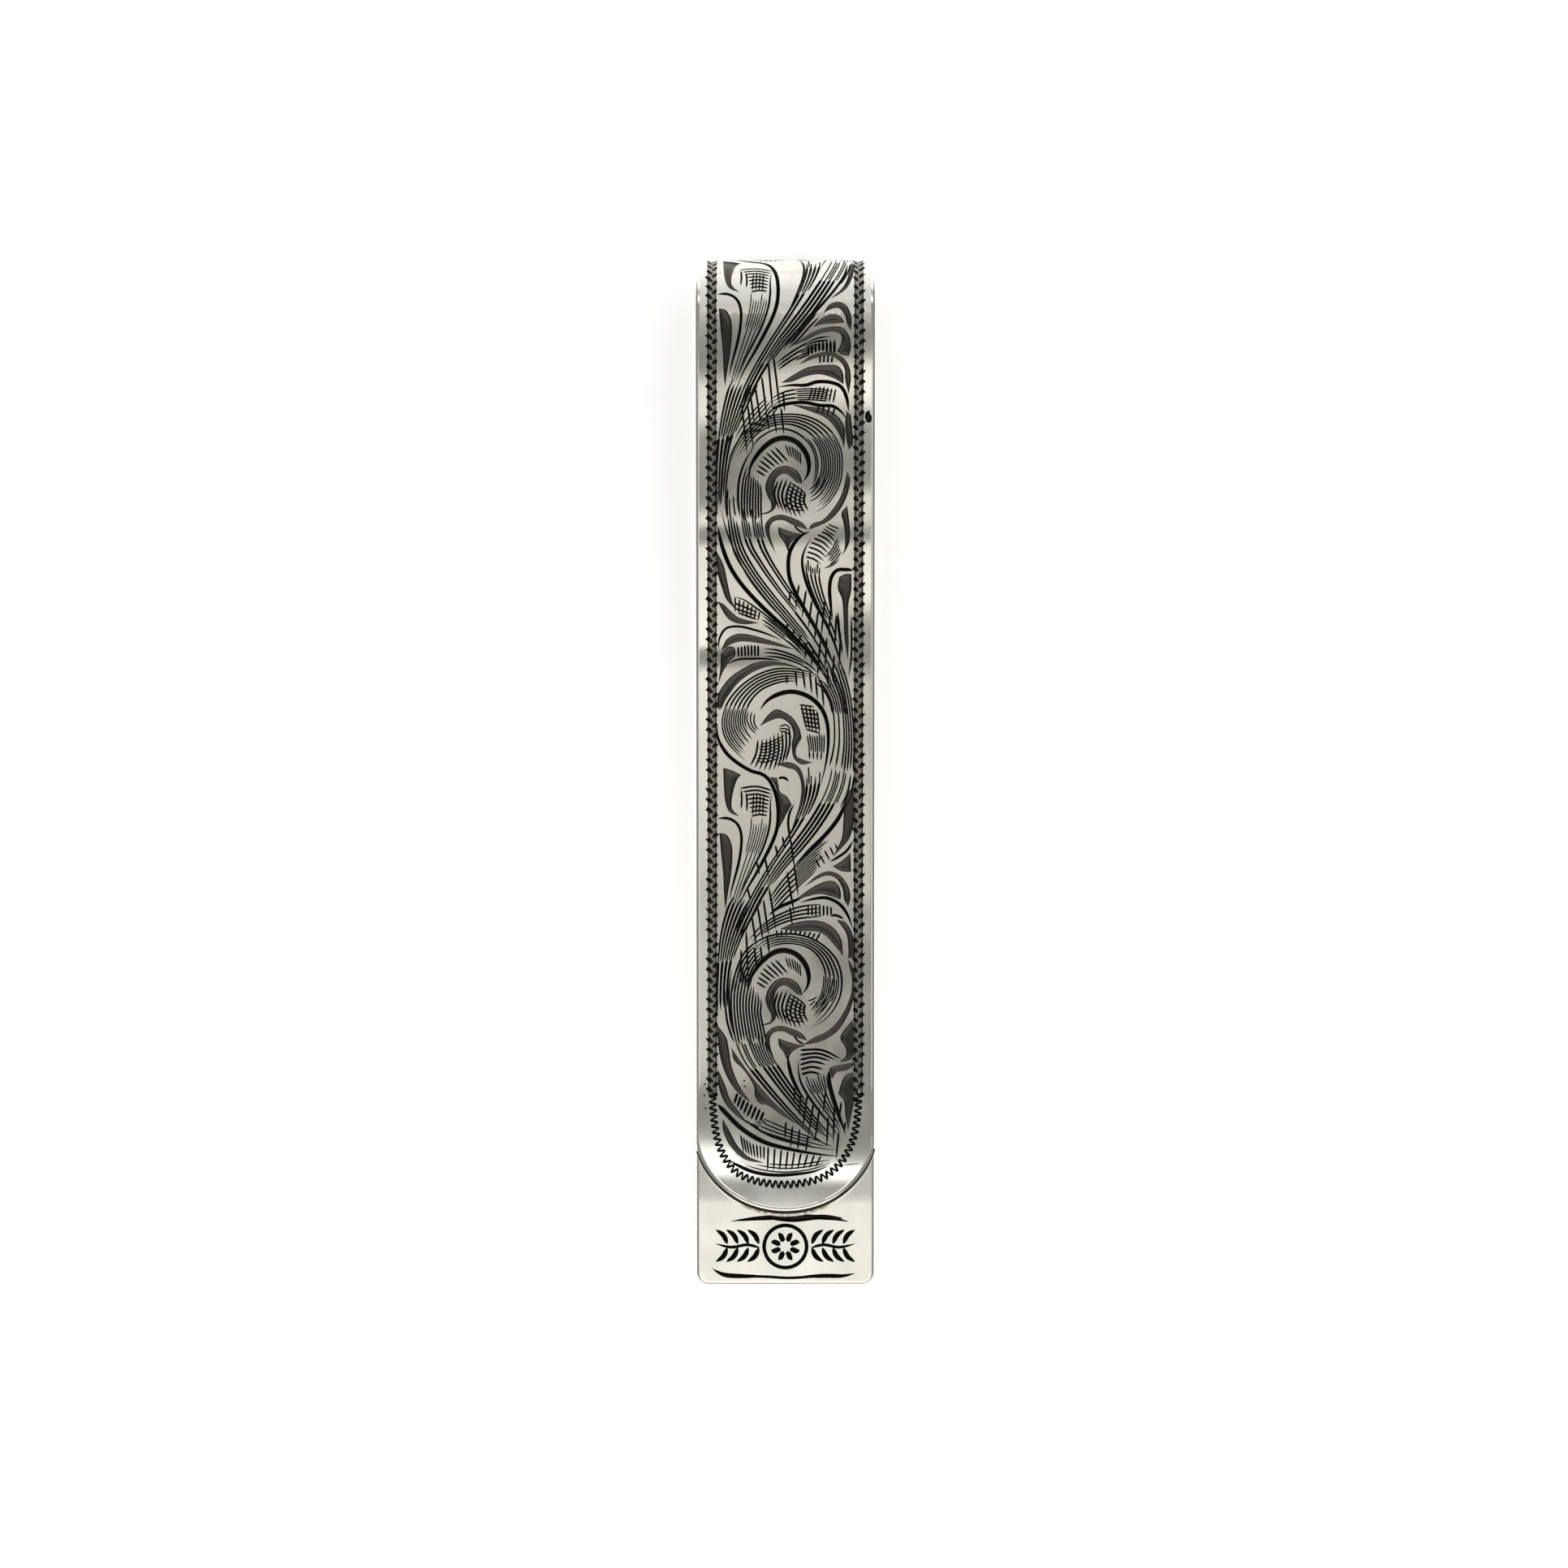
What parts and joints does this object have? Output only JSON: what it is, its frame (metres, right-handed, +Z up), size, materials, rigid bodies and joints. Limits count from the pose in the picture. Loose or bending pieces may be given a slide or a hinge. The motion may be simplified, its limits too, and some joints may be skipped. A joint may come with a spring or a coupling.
{
  "type": "money clip",
  "caption": "Folded silver strip clip that springs open at its bend to grip banknotes, with an engraved scroll front, a round flared tip and a thumb tab.",
  "frame": {"origin": "on the underside of the back leaf, at the middle of the clip's outline", "axes": "+Z up out of the engraved front face, +Y along the strip towards the bend, +X to the right seen from the front"},
  "size_m": [0.0126, 0.072, 0.007],
  "materials": {
    "polished_silver": "hand polished, with fine wear scratches",
    "engraved_silver": "hand engraved scroll with oxidised recesses and polished margins"
  },
  "bodies": {
    "back": {"back_leaf": "polished_silver"},
    "bend": {"spring_bend": "engraved_silver"},
    "front": {"front_leaf": "engraved_silver"}
  },
  "joints": [
    {"name": "bend_flex", "type": "hinge", "parent": "back", "child": "bend", "pos_m": [0, 0.0325, 0], "axis": [-1, 0, 0], "range_deg": [0, 2.5], "stiffness_Nm_per_rad": 0.5, "springref_deg": -2.86},
    {"name": "leaf_flex", "type": "hinge", "parent": "bend", "child": "front", "pos_m": [0, 0.0325, 0.007], "axis": [-1, 0, 0], "range_deg": [0, 2.5], "stiffness_Nm_per_rad": 0.5, "springref_deg": -2.86}
  ],
  "couplings": [
    {"joint": "leaf_flex", "follows": "bend_flex", "ratio": 1}
  ]
}
